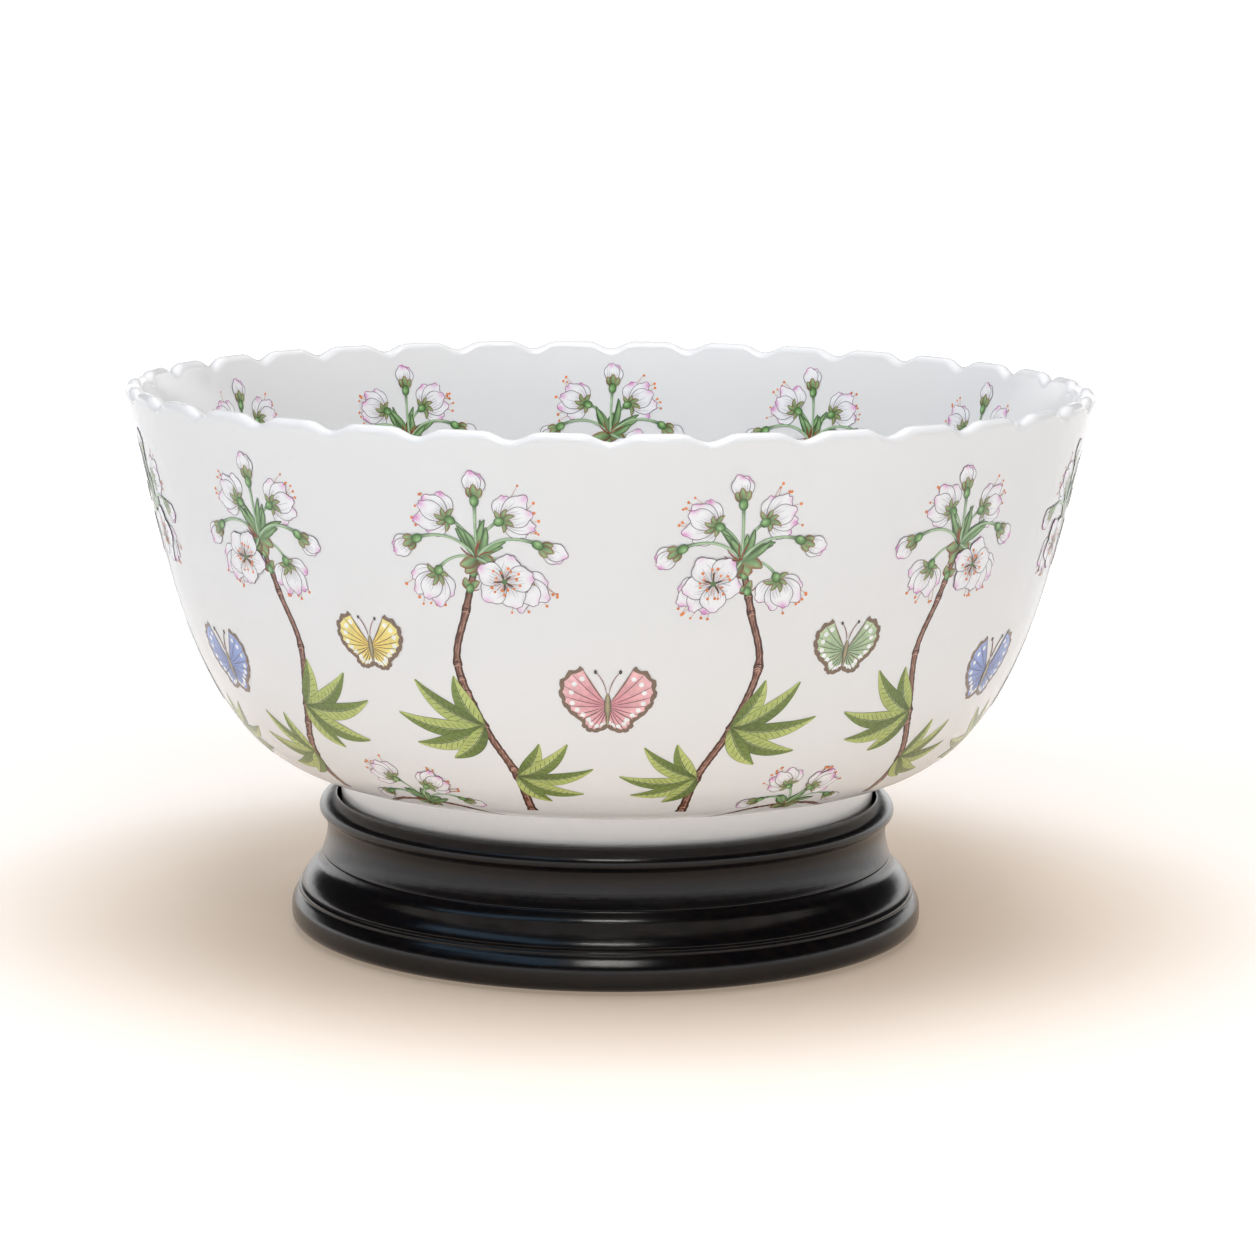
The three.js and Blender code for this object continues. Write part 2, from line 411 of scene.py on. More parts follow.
def make_bowl():
    foot_inner = FOOT_RADIUS - FOOT_WIDTH
    underside = FOOT_TOP_Z - BELLY_PULL_UP
    rim_centre = (RIM_RADIUS - WALL / 2, TOP_Z - WALL / 2)
    outline = np.vstack(
        [
            [(0, underside), (foot_inner - 3, underside), (foot_inner, underside - 3)],
            [(foot_inner, SEAT_Z + 1), (foot_inner + 1, SEAT_Z), (FOOT_RADIUS - 2, SEAT_Z)],
            [(FOOT_RADIUS - 1, SEAT_Z + 1)],
            outer_wall(),
            arc(rim_centre, WALL / 2, 0, 180)[1:-1],
            inner_wall(),
            [(0, underside + FLOOR_THICKNESS)],
        ]
    )
    bowl = turned(
        "porcelain_bowl_fired",
        softened(outline, 0.8, closed=False),
        SCALLOPS * COLUMNS_PER_SCALLOP,
        scalloped,
    )
    bowl.data.materials.append(porcelain())
    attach(bowl, "bowl")
    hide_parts("porcelain_bowl")


# ---------------------------------------------------------------- stand


NECK_FOOT_RADIUS = 106.5


def collar_outline():
    crease = (106.3, 43.0)
    shoulder = (107.7, crease[1] + 2.2)
    foot = (NECK_FOOT_RADIUS, JOINT_Z)
    spigot_z = COLLAR_LOW.z
    return np.vstack(
        [
            [(LEDGE_INNER_RADIUS, spigot_z), (SPIGOT_RADIUS, spigot_z), (SPIGOT_RADIUS, JOINT_Z)],
            curve(foot, (NECK_FOOT_RADIUS - 1.2, JOINT_Z + 3.2), (103.2, crease[1] - 3.6), crease),
            curve(crease, (107.3, crease[1] + 0.6), (107.7, crease[1] + 1.2), shoulder)[1:],
            curve(shoulder, (107.8, LIP_TOP_Z - 2.9), (104.5, LIP_TOP_Z), (101.8, LIP_TOP_Z))[1:],
            arc((REBATE_RADIUS + 0.9, LIP_TOP_Z - 0.9), 0.9, 90, 180)[1:],
            [(REBATE_RADIUS, LEDGE_Z), (LEDGE_INNER_RADIUS, LEDGE_Z)],
        ]
    )


def base_outline():
    """Up from the underside: rounded foot, ovolo, bead, quirk, ogee; then the socket for the spigot."""
    widest_z = 6.0
    bead_z = 14.6
    quirk_z = 16.6
    turn_point = (108.5, 24.2)
    socket = (96.3, COLLAR_LOW.z - 0.3)
    bore = 90.0
    return np.vstack(
        [
            [(bore, PAD_TOP_Z)],
            curve((111.5, PAD_TOP_Z), (115.8, PAD_TOP_Z), (BASE_RADIUS, 3.0), (BASE_RADIUS, widest_z)),
            curve((BASE_RADIUS, widest_z), (BASE_RADIUS, 8.8), (117.9, 10.1), (117.3, 11.3))[1:],
            curve((116.3, 13.1), (116.0, 13.6), (115.7, 14.1), (115.2, bead_z - 0.1)),
            curve((115.3, bead_z + 0.1), (115.7, 15.2), (115.2, 16.1), (114.3, quirk_z - 0.2)),
            [(113.8, quirk_z)],
            curve((114.4, quirk_z + 0.3), (113.2, 20.2), (110.4, 22.5), turn_point),
            curve(turn_point, (107.8, 24.9), (107.1, 26.4), (NECK_FOOT_RADIUS, JOINT_Z))[1:],
            [(socket[0], JOINT_Z), socket, (bore, socket[1])],
        ]
    )


def fluffed(seed, amount):
    """Moves the points of a felt solid in and out a little, as its fibres do."""
    draw = np.random.default_rng(seed)

    def shape(radius, z, angle):
        return radius - amount * draw.random(radius.shape), z + 0 * angle

    return shape


def make_stand():
    black = lacquer()
    for node, outline in (("stand_collar_ring", collar_outline()), ("stand_base_ring", base_outline())):
        section = softened(outline, 0.45, closed=True, tolerance=0.006)
        ring = turned(node + "_turned", section, STAND_COLUMNS)
        ring.data.materials.append(black)
        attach(ring, "stand")
        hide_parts(node)


def felt_outline(inner, outer, bottom, top):
    corners = np.array([(inner, bottom), (outer, bottom), (outer, top), (inner, top)], float)
    return softened(corners, 0.3, closed=True, tolerance=0.02)


def make_felt():
    green = felt("green_felt", (0.008, 0.018, 0.011), (0.032, 0.062, 0.040))
    outline = felt_outline(LEDGE_INNER_RADIUS + 1, FELT_HIGH.x, FELT_LOW.z, FELT_HIGH.z)
    seat = turned("seat_felt_liner", outline, 360, fluffed(5, 0.25))
    seat.data.materials.append(green)
    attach(seat, "stand")
    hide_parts("seat_felt_ring")
    black = felt("black_felt", (0.004, 0.004, 0.004), (0.028, 0.028, 0.028))
    for number in range(1, 5):
        node = f"felt_pad_{number}"
        low, high = node_box(node)
        centre = (low + high) / 2
        radius = (high.x - low.x) / 2
        corners = [(0, low.z), (radius, low.z), (radius, high.z), (0, high.z)]
        outline = softened(np.array(corners, float), 0.3, closed=False, tolerance=0.02)
        pad = turned(node + "_cut", outline, 72, fluffed(number, 0.2), (centre.x, centre.y))
        pad.data.materials.append(black)
        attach(pad, "stand")
        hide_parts(node)


# ---------------------------------------------------------------- decoration: prints on the wall

CHART_RADIUS = 165.0
HALF_WAY_ROUND = math.pi * CHART_RADIUS
LAYER = 0.010
EDGE_DROP = 0.006
SINK = 0.02
FAMILIES = {
    "petals": (260.0, 0.03),
    "ink": (400.0, 0.18),
    "greens": (420.0, 0.12),
    "bark": (420.0, 0.16),
    "anthers": (500.0, 0.10),
    "wings": (420.0, 0.12),
}


def paint(red, green, blue):
    """An enamel colour, given as it looks on the bowl in studio light."""
    return np.minimum(np.array(linear(red, green, blue)) * 1.3, 0.88)


WHITE = paint(213, 213, 216)
SHADE = paint(178, 178, 182)
PINK = paint(206, 150, 194)
DEEP_PINK = paint(172, 98, 152)
GREY_INK = paint(126, 120, 126)
DARK_INK = paint(66, 58, 60)
ORANGE = paint(206, 122, 70)
RED_BROWN = paint(124, 66, 48)
STEM_PALE = paint(172, 192, 164)
STEM_EDGE = paint(112, 140, 100)
GREEN_LIGHT = paint(146, 180, 128)
GREEN = paint(86, 124, 70)
GREEN_DARK = paint(40, 62, 34)
LEAF_LIGHT = paint(168, 178, 106)
LEAF_MID = paint(120, 138, 68)
LEAF_DARK = paint(62, 78, 38)
BARK_DARK = paint(52, 32, 26)
BARK_MID = paint(98, 64, 52)
BARK_LIGHT = paint(176, 136, 120)


def mix(first, second, share):
    """Colours between two colours, for an array of shares."""
    share = np.clip(np.asarray(share, float), 0, 1)[..., None]
    return first * (1 - share) + second * share


def bow(start, end, bend, spacing=1.2):
    """A curve from start to end that stands off its chord by bend times its length."""
    steps = max(4, int(abs(end - start) / spacing) + 1)
    t = np.linspace(0, 1, steps + 1)
    return start + (end - start) * (t + 4j * bend * t * (1 - t))


def smooth_path(nodes, spacing=1.1):
    """A Catmull-Rom curve through the nodes."""
    p = np.array([2 * nodes[0] - nodes[1], *nodes, 2 * nodes[-1] - nodes[-2]])
    pieces = []
    for a, b, c, d in zip(p, p[1:], p[2:], p[3:]):
        t = np.linspace(0, 1, max(3, int(abs(c - b) / spacing)) + 1)[:-1]
        square = (2 * a - 5 * b + 4 * c - d) / 2
        cube = (3 * b - a - 3 * c + d) / 2
        pieces.append(b + (c - a) / 2 * t + square * t**2 + cube * t**3)
    return np.concatenate([*pieces, [nodes[-1]]])


class Transfer:
    """Thin closed prints on half of one face of the bowl, gathered by colour family.

    A chart position is a complex number: its real part is the azimuth times CHART_RADIUS, to the right for
    whoever looks at that face, and its imaginary part is the distance up the wall. Widths and lengths of
    motifs are true millimetres, so squeeze widens them again where the wall is narrower than the chart."""

    def __init__(self, side, half, wall, seed):
        self.side = side
        self.half = half
        self.wall = wall
        self.up = length_along(wall)
        self.lean = np.gradient(wall, axis=0)
        self.lean /= np.hypot(*self.lean.T)[:, None]
        self.draw = random.Random(seed)
        self.families = {}
        self.shift = 0.0

    def squeeze(self, v):
        return CHART_RADIUS / np.interp(v, self.up, self.wall[:, 0])

    def placed(self, where, turn=0.0, size=1.0):
        """A function from a motif's own millimetres to the chart."""
        spin = size * cmath.exp(1j * turn)
        squeeze = float(self.squeeze(where.imag))

        def place(points):
            q = np.asarray(points) * spin
            return where + q.real * squeeze + 1j * q.imag

        return place

    def on_wall(self, chart, lift):
        azimuth = (chart.real + self.shift) / CHART_RADIUS
        radius, z = (np.interp(chart.imag, self.up, self.wall[:, i]) for i in (0, 1))
        out, rise = (np.interp(chart.imag, self.up, self.lean[:, i]) for i in (1, 0))
        rise = -rise
        if self.side == "inside":
            azimuth, out, rise = math.pi - azimuth, -out, -rise
        radius, z = radius + out * lift, z + rise * lift
        sine, cosine = np.sin(azimuth), np.cos(azimuth)
        points = np.stack([radius * sine, -radius * cosine, z], -1).reshape(-1, 3)
        normals = np.stack([out * sine, -out * cosine, rise], -1).reshape(-1, 3)
        return points, normals

    def lay(self, family, grid, colours, level):
        """One print: a grid of chart points, lifted off the glaze, closed underneath by a sunk copy."""
        rows, columns = grid.shape
        lift = np.full(grid.shape, level - EDGE_DROP)
        lift[1:-1, 1:-1] = level
        top, top_normals = self.on_wall(grid, lift)
        under, under_normals = self.on_wall(grid[1:-1, 1:-1], -SINK)
        colours = np.broadcast_to(colours, (rows, columns, 3))
        upper = np.arange(rows * columns).reshape(rows, columns)
        lower = upper.copy()
        lower[1:-1, 1:-1] = rows * columns + np.arange((rows - 2) * (columns - 2)).reshape(rows - 2, -1)
        upper_quads, lower_quads = (
            np.stack([g[:-1, :-1], g[:-1, 1:], g[1:, 1:], g[1:, :-1]], -1).reshape(-1, 4)
            for g in (upper, lower)
        )
        empty = {"points": [], "normals": [], "colours": [], "faces": [], "count": 0}
        store = self.families.setdefault(family, empty)
        store["faces"].append(np.concatenate([upper_quads, lower_quads[:, ::-1]]) + store["count"])
        store["points"] += [top, under]
        store["normals"] += [top_normals, under_normals]
        store["colours"] += [colours.reshape(-1, 3), colours[1:-1, 1:-1].reshape(-1, 3)]
        store["count"] += len(top) + len(under)

    def band(self, family, spine, widths, across, colours, level):
        """A print along a spine: widths to each side of it, and one column for each of across, from 1 on
        its left edge to -1 on its right."""
        squeeze = self.squeeze(spine.imag)
        step = np.gradient(spine)
        step = step.real / squeeze + 1j * step.imag
        left = 1j * step / np.abs(step) * widths
        left = left.real * squeeze + 1j * left.imag
        self.lay(family, spine[:, None] + left[:, None] * np.asarray(across)[None, :], colours, level)

    def line(self, spine, width, colour, level, family="ink", taper=0.7):
        """A drawn line that swells in its middle."""
        t = np.linspace(0, 1, len(spine))
        widths = width / 2 * (1 - taper + taper * np.sin(math.pi * t) ** 0.7)
        self.band(family, spine, widths, (1, 0, -1), colour, level)

    def dot(self, centre, radius, colour, level, family="anthers", stretch=1.0, turn=0.0):
        t = np.linspace(-0.94, 0.94, 6)
        grid = stretch * t[:, None] + 1j * np.sqrt(1 - t**2)[:, None] * np.array([1, 0.4, -0.4, -1])
        self.lay(family, self.placed(centre, turn, radius)(grid), colour, level)

    def pieces(self):
        """One piece for each colour family."""
        for family, store in self.families.items():
            points, normals, colours, faces = (
                np.concatenate(store[key]) for key in ("points", "normals", "colours", "faces")
            )
            mesh = bpy.data.meshes.new(f"print_{family}_{self.side}_{self.half}")
            mesh.from_pydata((points / MM).tolist(), [], faces.tolist())
            mesh.update()
            layer = mesh.color_attributes.new(name="paint", type="FLOAT_COLOR", domain="POINT")
            layer.data.foreach_set("color", np.hstack([colours, np.ones((len(colours), 1))]).ravel())
            mesh.shade_smooth()
            mesh.normals_split_custom_set_from_vertices(normals.tolist())
            piece = bpy.data.objects.new(mesh.name, mesh)
            bpy.context.scene.collection.objects.link(piece)
            yield family, piece


# ---------------------------------------------------------------- decoration: motifs


def petal(sheet, place, length, width, level, pink):
    """One petal from its base at 0 to its blunt tip, with veins and outline."""

    def shape(t, s):
        breadth = width / 2 * np.sin(math.pi * (0.07 + 0.79 * t)) ** 0.8
        reach = length * (t - 0.17 * t**3 * s**2 - notch * t**4 * np.exp(-((s / 0.3) ** 2)))
        return reach + 1j * breadth * s

    draw = sheet.draw
    notch = draw.uniform(0.0, 0.10)
    blush_side = draw.uniform(-0.8, 0.8)
    t = np.linspace(0, 1, 10)[:, None]
    s = np.linspace(1, -1, 9)[None, :]
    shadow_side = draw.choice((-1, 1))
    colours = mix(SHADE, WHITE, t * 1.9 + 0 * s)
    colours = mix(colours, SHADE, 0.75 * smoothstep(0.25, 1, s * shadow_side * t))
    blush = pink * smoothstep(0.66, 1.0, t) * np.exp(-((s - blush_side) ** 2) / 0.22)
    colours = mix(mix(colours, PINK, 1.2 * blush), DEEP_PINK, 0.45 * blush**2)
    sheet.lay("petals", place(shape(t, s)), colours, level)
    for side in (-0.62, -0.36, -0.12, 0.14, 0.4, 0.64):
        reach = np.linspace(0.08, draw.uniform(0.3, 0.75), 7)
        vein = shape(reach, side * (1 + 0.15 * np.sin(reach * 7 + side)))
        sheet.line(place(vein), 0.18, mix(GREY_INK, WHITE, 0.25), level + LAYER)
    up = np.linspace(0.0, 1.0, 12)
    tip = np.linspace(1, -1, 11)[1:-1]
    edge = np.concatenate([shape(up, 1.0), shape(1.0, tip), shape(up[::-1], -1.0)])
    rosy = 0.7 * smoothstep(0.7, 1.0, edge.real / length) * pink
    wobble = 0.55 + 0.45 * np.sin(np.arange(len(edge)) * 0.6 + draw.uniform(0, 6))
    tone = mix(mix(DARK_INK, GREY_INK, wobble), DEEP_PINK, rosy)[:, None, :]
    sheet.band("ink", place(edge), 0.09 + 0.07 * wobble, (1, 0, -1), tone, level + LAYER)


def stamen(sheet, place, start, end, level):
    draw = sheet.draw
    thread = place(bow(start, end, draw.uniform(-0.12, 0.12)))
    sheet.line(thread, 0.18, mix(ORANGE, DARK_INK, 0.35), level)
    sheet.dot(complex(place(end)), draw.uniform(0.42, 0.6), ORANGE * draw.uniform(0.8, 1.1), level)


def open_blossom(sheet, where, turn, size, level):
    """A blossom seen from the front."""
    draw = sheet.draw
    order = [0, 2, 4, 1, 3]
    for i in order:
        angle = turn + math.radians(72 * i + draw.uniform(-7, 7))
        place = sheet.placed(where, angle, size)
        inset = 0.8
        petal(
            sheet,
            lambda q, place=place: place(q + inset),
            draw.uniform(10.2, 11.6),
            draw.uniform(9.4, 10.8),
            level,
            0.6 * draw.uniform(0.3, 1.3),
        )
        level += 2 * LAYER
    place = sheet.placed(where, turn, size)
    for i in range(5):
        ray = cmath.exp(1j * math.radians(72 * i + 36 + draw.uniform(-8, 8)))
        spine = place(bow(0.2 * ray, draw.uniform(3.4, 5.0) * ray, draw.uniform(-0.05, 0.05)))
        sheet.line(spine, 0.75, mix(GREEN_DARK, DARK_INK, 0.5), level, "greens")
    for i in range(15):
        ray = cmath.exp(1j * math.radians(24 * i + draw.uniform(-8, 8)))
        stamen(sheet, place, 0.8 * ray, draw.uniform(3.2, 6.4) * ray, level)
    sheet.dot(where, 1.1 * size, mix(GREEN, DARK_INK, 0.35), level + LAYER, "greens")


def sepal(sheet, place, angle, length, width, level, bend=0.0, edge=RED_BROWN):
    """A pointed green blade from 0, with a coloured edge."""
    spine = place(bow(0j, length * cmath.exp(1j * angle), bend, 0.9))
    t = np.linspace(0, 1, len(spine))
    widths = width / 2 * (np.sin(math.pi * (0.12 + 0.84 * t)) ** 0.9 + 0.03)
    across = np.array([1, 0.8, 0.25, -0.25, -0.8, -1])
    sides = (np.abs(across) > 0.7)[None, :] * (0.35 + 0.65 * t[:, None])
    rim = np.maximum(sides, smoothstep(0.72, 1.0, t)[:, None] * 0.6)
    body = mix(GREEN_DARK, GREEN_LIGHT, 0.2 + 0.7 * t[:, None] - 0.35 * across[None, :])
    sheet.band("greens", spine, widths, across, mix(body, edge, rim), level)


def ball(sheet, place, centre, length, width, level):
    """The rounded green cup behind a flower, with a highlight on its upper left."""
    t = np.linspace(-0.96, 0.96, 8)[:, None]
    across = np.array([1, 0.75, 0.35, -0.1, -0.6, -1])[None, :]
    grid = centre + length / 2 * t + 1j * width / 2 * np.sqrt(1 - t**2) * across
    shine = np.exp(-((t + 0.1) ** 2 + (across - 0.3) ** 2) / 0.22)
    colours = mix(mix(GREEN_DARK, GREEN, 1.35 - t**2 - 1.1 * across**2), GREEN_LIGHT, shine)
    sheet.lay("greens", place(grid), colours, level)


def bud(sheet, where, turn, size, level):
    """A closed bud: ball, white petals folded over each other, sepals."""
    draw = sheet.draw
    place = sheet.placed(where, turn, size)
    pink = draw.uniform(0.6, 1.2)
    for side, shift in ((-1, 0.0), (1, 0.6)):
        petal(sheet, lambda q: place((q + shift) * cmath.exp(0.16j * side) + 3.6), 8.2, 6.4, level, pink)
        level += 2 * LAYER
    for angle, length in ((-0.62, 4.2), (0.62, 4.2), (0.05, 4.8)):
        sepal(sheet, lambda q: place(q + 2.9), angle, length, 2.9, level, 0.1 * angle)
        level += LAYER
    ball(sheet, place, 1.7, 4.4, 3.2, level)
    return level


def side_blossom(sheet, where, turn, size, level):
    """An open blossom seen from the side, with its stamens beyond the petals."""
    draw = sheet.draw
    place = sheet.placed(where, turn, size)
    for _ in range(6):
        angle = math.radians(draw.uniform(-42, 42))
        end = draw.uniform(13.5, 15.6) * cmath.exp(1j * angle)
        stamen(sheet, place, 6 * cmath.exp(1j * angle), end, level)
    level += LAYER
    pink = draw.uniform(0.6, 1.1)
    for angle, length in ((58, 9.6), (-58, 9.6), (26, 11.6), (-28, 11.4), (-2, 11.0)):
        lean = cmath.exp(1j * math.radians(angle + draw.uniform(-6, 6)))
        petal(
            sheet,
            lambda q, lean=lean: place(q * lean + 2.6),
            length * draw.uniform(0.95, 1.05),
            draw.uniform(6.6, 8.4),
            level,
            pink * draw.uniform(0.5, 1.3),
        )
        level += 2 * LAYER
    for angle in (-1.9, 1.8, -0.9, 0.8, 0.0):
        sepal(sheet, lambda q: place(q + 2.6), angle, draw.uniform(3.6, 5.0), 1.9, level, 0.12)
        level += LAYER / 2
    ball(sheet, place, 1.3, 4.0, 3.2, level)
    return level


def stem(sheet, spine, width, level):
    t = np.linspace(0, 1, len(spine))[:, None]
    across = np.array([1, 0.5, -0.1, -0.6, -1])
    core = mix(STEM_EDGE, STEM_PALE, 1.1 - np.abs(across[None, :] - 0.15) * 1.4)
    ends = smoothstep(0.80, 1.0, t) * 0.6 + smoothstep(0.12, 0.0, t) * 0.5
    colours = mix(core, GREEN_DARK, ends + 0 * across)
    sheet.band("greens", spine, width / 2 * (0.85 + 0.25 * (2 * t[:, 0] - 1) ** 2), across, colours, level)


TUFT_BLADES = 9


def tuft(sheet, where, turn, size, level):
    """Pointed young leaves bursting from the tip of a twig."""
    draw = sheet.draw
    place = sheet.placed(where, turn, size)
    for i in range(4):
        angle = math.radians((-150, 150, -105, 105)[i] + draw.uniform(-12, 12))
        sepal(sheet, place, angle, draw.uniform(6.0, 8.0), 4.4, level, 0.08)
        level += LAYER
    for i in range(TUFT_BLADES):
        share = ((i * 3) % TUFT_BLADES) / (TUFT_BLADES - 1)
        angle = math.radians(-62 + 124 * share + draw.uniform(-8, 8))
        sepal(sheet, place, angle, draw.uniform(9.0, 15.5), 2.7, level, draw.uniform(-0.1, 0.1), GREEN_DARK)
        level += LAYER
    for i in range(4):
        angle = math.radians(draw.uniform(-75, 75))
        sheet.line(place(bow(0j, 6.5 * cmath.exp(1j * angle), 0.1)), 0.5, RED_BROWN, level)


def bracts(sheet, nodes, level):
    """Green and brown scales in pairs along a young twig, with a swelling between them."""
    for start, end in zip(nodes, nodes[1:]):
        where = complex(*start)
        place = sheet.placed(where, cmath.phase(where - complex(*end)), 0.85)
        for side in (1, -1):
            angle = side * sheet.draw.uniform(0.5, 0.9)
            sepal(sheet, place, angle, sheet.draw.uniform(4.6, 6.2), 3.0, level, 0.1)
            scale = place(bow(0j, 4.0 * cmath.exp(1.2j * side), 0.15 * side))
            sheet.line(scale, 0.45, RED_BROWN, level + LAYER)
        ball(sheet, place, 0.4, 4.4, 3.4, level + 2 * LAYER)


def leaf(sheet, base, tip, width, bend, level, dark_side=1):
    """A lance-shaped leaf in two greens, with its midrib and side veins."""
    spine = bow(base, tip, bend, 1.3)
    t = np.linspace(0, 1, len(spine))[:, None]
    breadth = width / 2 * (np.sin(math.pi * (0.04 + 0.94 * t[:, 0] ** 0.85)) ** 0.95 + 0.02)
    across = np.array([1, 0.9, 0.55, 0.14, 0, -0.14, -0.55, -0.9, -1])
    s = across[None, :]
    tone = sheet.draw.uniform(-0.12, 0.12)
    streak = 0.10 * np.sin(t * 46 + np.abs(s) * 5)
    light = mix(LEAF_MID, LEAF_LIGHT, 0.55 + 0.4 * t + streak + tone + 0 * s)
    dark = mix(LEAF_DARK, LEAF_MID, 0.25 + 0.5 * t + streak + tone + 0 * s)
    body = np.where((s * dark_side > 0)[..., None], dark, light)
    body = mix(body, mix(LEAF_LIGHT, WHITE, 0.25), (np.abs(s) < 0.1) * (1 - 0.4 * t))
    body = mix(body, LEAF_DARK, (np.abs(s) > 0.95) * 0.9 + smoothstep(0.16, 0.0, t) * 0.7 + 0 * s)
    sheet.band("greens", spine, breadth, across, body, level)
    squeeze = sheet.squeeze(spine.imag)
    step = np.gradient(spine)
    step = step.real / squeeze + 1j * step.imag
    step /= np.abs(step)
    for i in range(2, len(spine) - 4, 2):
        for side in (1, -1):
            reach = 0.82 * breadth[min(i + 2, len(spine) - 1)]
            way = step[i] * cmath.exp(0.85j * side)
            across_leaf = reach / math.sin(0.85) * way
            end = spine[i] + across_leaf.real * squeeze[i] + 1j * across_leaf.imag
            sheet.line(bow(spine[i], end, -0.06 * side), 0.2, LEAF_DARK, level + LAYER)
    sheet.line(spine, 0.28, mix(LEAF_DARK, DARK_INK, 0.3), level + LAYER)


def branch(sheet, nodes, start_width, end_width, level):
    """A woody twig with a pale back, dark edges, and knuckles at its nodes."""
    draw = sheet.draw
    nodes = [complex(*node) for node in nodes]
    spine = smooth_path(nodes)
    t = np.linspace(0, 1, len(spine))
    knuckles = [(float(np.abs(spine - node).argmin()), 0.28) for node in nodes]
    knuckles += [(draw.uniform(3, len(spine) - 3), 0.2) for _ in range(len(spine) // 22)]
    widths = (start_width + (end_width - start_width) * t) / 2
    index = np.arange(len(spine))
    for place, swell in knuckles:
        widths = widths * (1 + swell * np.exp(-(((index - place) / 1.4) ** 2)))
    widths = widths * (1 + 0.05 * np.sin(index * 1.7) + 0.04 * np.sin(index * 3.1 + 1))
    across = np.array([1, 0.82, 0.55, 0.3, 0.05, -0.3, -0.6, -0.85, -1])
    pale = np.array([0, 0.1, 0.35, 0.85, 0.5, 0.65, 0.22, 0.05, 0])[None, :]
    grain = np.array([[draw.uniform(-0.22, 0.22) for _ in across] for _ in spine])
    shade = pale + grain
    lit = mix(BARK_MID, BARK_LIGHT, 2 * shade - 1)
    unlit = mix(BARK_DARK, BARK_MID, 2 * shade)
    colours = np.where((shade > 0.5)[..., None], lit, unlit)
    sheet.band("bark", spine, widths, across, colours, level)
    for place, _ in knuckles:
        i = int(min(max(place, 2), len(spine) - 3))
        step = spine[i + 1] - spine[i - 1]
        cross = 1j * step / abs(step) * widths[i]
        sheet.line(bow(spine[i] - cross, spine[i] + cross, 0.25, 0.6), 0.45, BARK_DARK, level + LAYER)
        beside = spine[i] + step * 0.5
        ridge = bow(beside - cross * 0.8, beside + cross * 0.8, 0.25, 0.6)
        sheet.line(ridge, 0.35, BARK_LIGHT, level + LAYER)


FLOWERS = {"bud": (bud, 6.5), "side": (side_blossom, 7.5), "open": (open_blossom, 0.0)}
STEM_LEVEL = 0.055
LEAF_LEVEL = 0.07
FLOWER_LEVEL = 0.09
FLOWER_DEPTH = 0.15
STEM_WIDTH = 1.1


def flower(sheet, kind, start, x, v, bend, size, over):
    """A flower with its middle at x, v, on a stem from start. It faces the way that its stem ends."""
    make, reach = FLOWERS[kind]
    centre = complex(x, v)
    squeeze = float(sheet.squeeze(v))
    way = (centre - start) * (1 - 4j * bend)
    way = complex(way.real / squeeze, way.imag)
    turn = cmath.phase(way)
    back = reach * size * way / abs(way)
    end = centre - complex(back.real * squeeze, back.imag)
    level = FLOWER_LEVEL + over * FLOWER_DEPTH
    stem(sheet, bow(start, end, bend), STEM_WIDTH, STEM_LEVEL if over == 0 else level - LAYER)
    if kind == "open":
        open_blossom(sheet, centre, turn, size, level)
    else:
        make(sheet, end, turn, size, level)


def leaf_cluster(sheet, heart, leaves):
    """Leaves from one point: (tip x, tip v, width, bend)."""
    heart = complex(*heart)
    for i, (x, v, width, bend) in enumerate(leaves):
        leaf(sheet, heart, complex(x, v), width, bend, LEAF_LEVEL + 2 * LAYER * i, -1 if i % 2 else 1)


WING_VEINS = 6


def wing(sheet, place, angles, radii, colours, level):
    """A wing as a fan from the body: radii at evenly spaced angles, in degrees, smoothly joined."""
    base, tip, dots = colours
    share = np.linspace(0, 1, 21)
    angle = np.radians(np.interp(share, np.linspace(0, 1, len(angles)), angles))
    radius = np.interp(share, np.linspace(0, 1, len(radii)), radii)
    radius = np.convolve(np.pad(radius, 2, mode="edge"), np.ones(5) / 5, "valid")
    radius = radius * (1 + 0.025 * np.cos(share * 2 * math.pi * (WING_VEINS + 0.5)))
    ray = np.exp(1j * angle)
    t = np.linspace(0.05, 1, 12)[:, None]
    rib = np.cos(share * 2 * math.pi * WING_VEINS)[None, :]
    fill = mix(mix(base, tip, 1.1 * t - 0.1 + 0.12 * rib), base, smoothstep(0.6, 0.9, rib) * (1 - 0.6 * t))
    sheet.lay("wings", place((t * (radius * ray)[None, :])[:, ::-1]), fill[:, ::-1], level)
    for i in range(WING_VEINS + 1):
        j = round(i * 20 / WING_VEINS)
        vein = place(bow(ray[j], 0.97 * radius[j] * ray[j], 0.03))
        sheet.line(vein, 0.26, DARK_INK, level + LAYER, "wings")
    for i in range(WING_VEINS):
        j = round((i + 0.5) * 20 / WING_VEINS)
        sheet.dot(complex(place(0.78 * radius[j] * ray[j])), 0.9, dots, level + LAYER, "wings")
    rim = place(0.975 * radius * ray)
    sheet.band("wings", rim, 0.75 + 0.2 * rib[0], (1, 0.4, -0.4, -1), WING_EDGE, level + 2 * LAYER)
    for j in (0, 20):
        side = place(bow(0.8 * ray[j], 0.98 * radius[j] * ray[j], 0.02))
        sheet.line(side, 0.4, WING_EDGE, level + 2 * LAYER, "wings")


WING_EDGE = paint(112, 94, 80)
FUR = paint(176, 166, 128)
